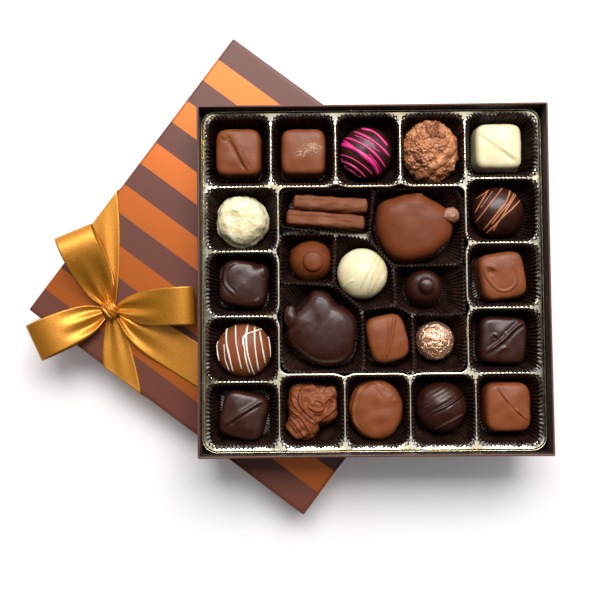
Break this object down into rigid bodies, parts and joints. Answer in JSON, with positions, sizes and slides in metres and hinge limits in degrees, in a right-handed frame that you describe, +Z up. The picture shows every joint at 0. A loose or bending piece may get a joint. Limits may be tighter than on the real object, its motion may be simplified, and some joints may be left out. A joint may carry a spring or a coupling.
{
  "type": "box of chocolate pralines",
  "caption": "Open square box of assorted chocolate pralines in fluted paper cups on a gold insert, standing on its striped lid, which is tied across a corner with a satin bow.",
  "frame": {"origin": "centre of the whole footprint (box and lid together) on the table", "axes": "+Z up; +X to the right and +Y away in the picture, along the open box's walls"},
  "size_m": [0.322, 0.3026, 0.054],
  "materials": {
    "lid_board": "satin printed card with metallic copper stripes",
    "box_board": "satin card",
    "gold_plastic": "vacuum-metallised pale gold, mirror-like",
    "cup_paper": "glassine paper",
    "milk_chocolate": "satin",
    "dark_chocolate": "satin",
    "white_chocolate": "satin",
    "rose_gold_foil": "crumpled rose-gold foil",
    "satin_ribbon": "satin weave"
  },
  "bodies": {
    "root": {"lid": "lid_board", "box_tray": "box_board", "gold_insert": "gold_plastic", "cup_milk_square_fold": "cup_paper", "milk_square_fold": "milk_chocolate", "cup_milk_square_crumb": "cup_paper", "milk_square_crumb": "milk_chocolate", "cup_dark_truffle_pink_lines": "cup_paper", "dark_truffle_pink_lines": "dark_chocolate", "cup_milk_truffle_nut_crust": "cup_paper", "milk_truffle_nut_crust": "milk_chocolate", "cup_white_square": "cup_paper", "white_square": "white_chocolate", "cup_dark_truffle_milk_lines": "cup_paper", "dark_truffle_milk_lines": "dark_chocolate", "cup_milk_square_curl": "cup_paper", "milk_square_curl": "milk_chocolate", "cup_dark_square_cord": "cup_paper", "dark_square_cord": "dark_chocolate", "cup_milk_square_line": "cup_paper", "milk_square_line": "milk_chocolate", "cup_dark_truffle_dark_lines": "cup_paper", "dark_truffle_dark_lines": "dark_chocolate", "cup_milk_round": "cup_paper", "milk_round": "milk_chocolate", "cup_milk_cluster_swirled": "cup_paper", "milk_cluster_swirled": "milk_chocolate", "cup_dark_square_pleat": "cup_paper", "dark_square_pleat": "dark_chocolate", "cup_milk_truffle_white_lines": "cup_paper", "milk_truffle_white_lines": "milk_chocolate", "cup_dark_square_curl": "cup_paper", "dark_square_curl": "dark_chocolate", "cup_white_truffle_rough": "cup_paper", "white_truffle_rough": "white_chocolate", "cup_milk_cluster_large": "cup_paper", "milk_cluster_large": "milk_chocolate", "cup_milk_bonbon_button": "cup_paper", "milk_bonbon_button": "milk_chocolate", "cup_white_truffle_lines": "cup_paper", "white_truffle_lines": "white_chocolate", "cup_dark_bonbon_button": "cup_paper", "dark_bonbon_button": "dark_chocolate", "cup_dark_cluster_large": "cup_paper", "dark_cluster_large": "dark_chocolate", "cup_milk_diamond_pleat": "cup_paper", "milk_diamond_pleat": "milk_chocolate", "cup_foil_wrapped_ball": "cup_paper", "foil_wrapped_ball": "rose_gold_foil", "cup_milk_sticks": "cup_paper", "milk_stick_far": "milk_chocolate", "milk_stick_near": "milk_chocolate", "ribbon_band": "satin_ribbon", "ribbon_under_run": "satin_ribbon", "ribbon_knot": "satin_ribbon", "ribbon_loop_far": "satin_ribbon", "ribbon_loop_left": "satin_ribbon", "ribbon_loop_right": "satin_ribbon", "ribbon_tail": "satin_ribbon"}
  },
  "joints": []
}
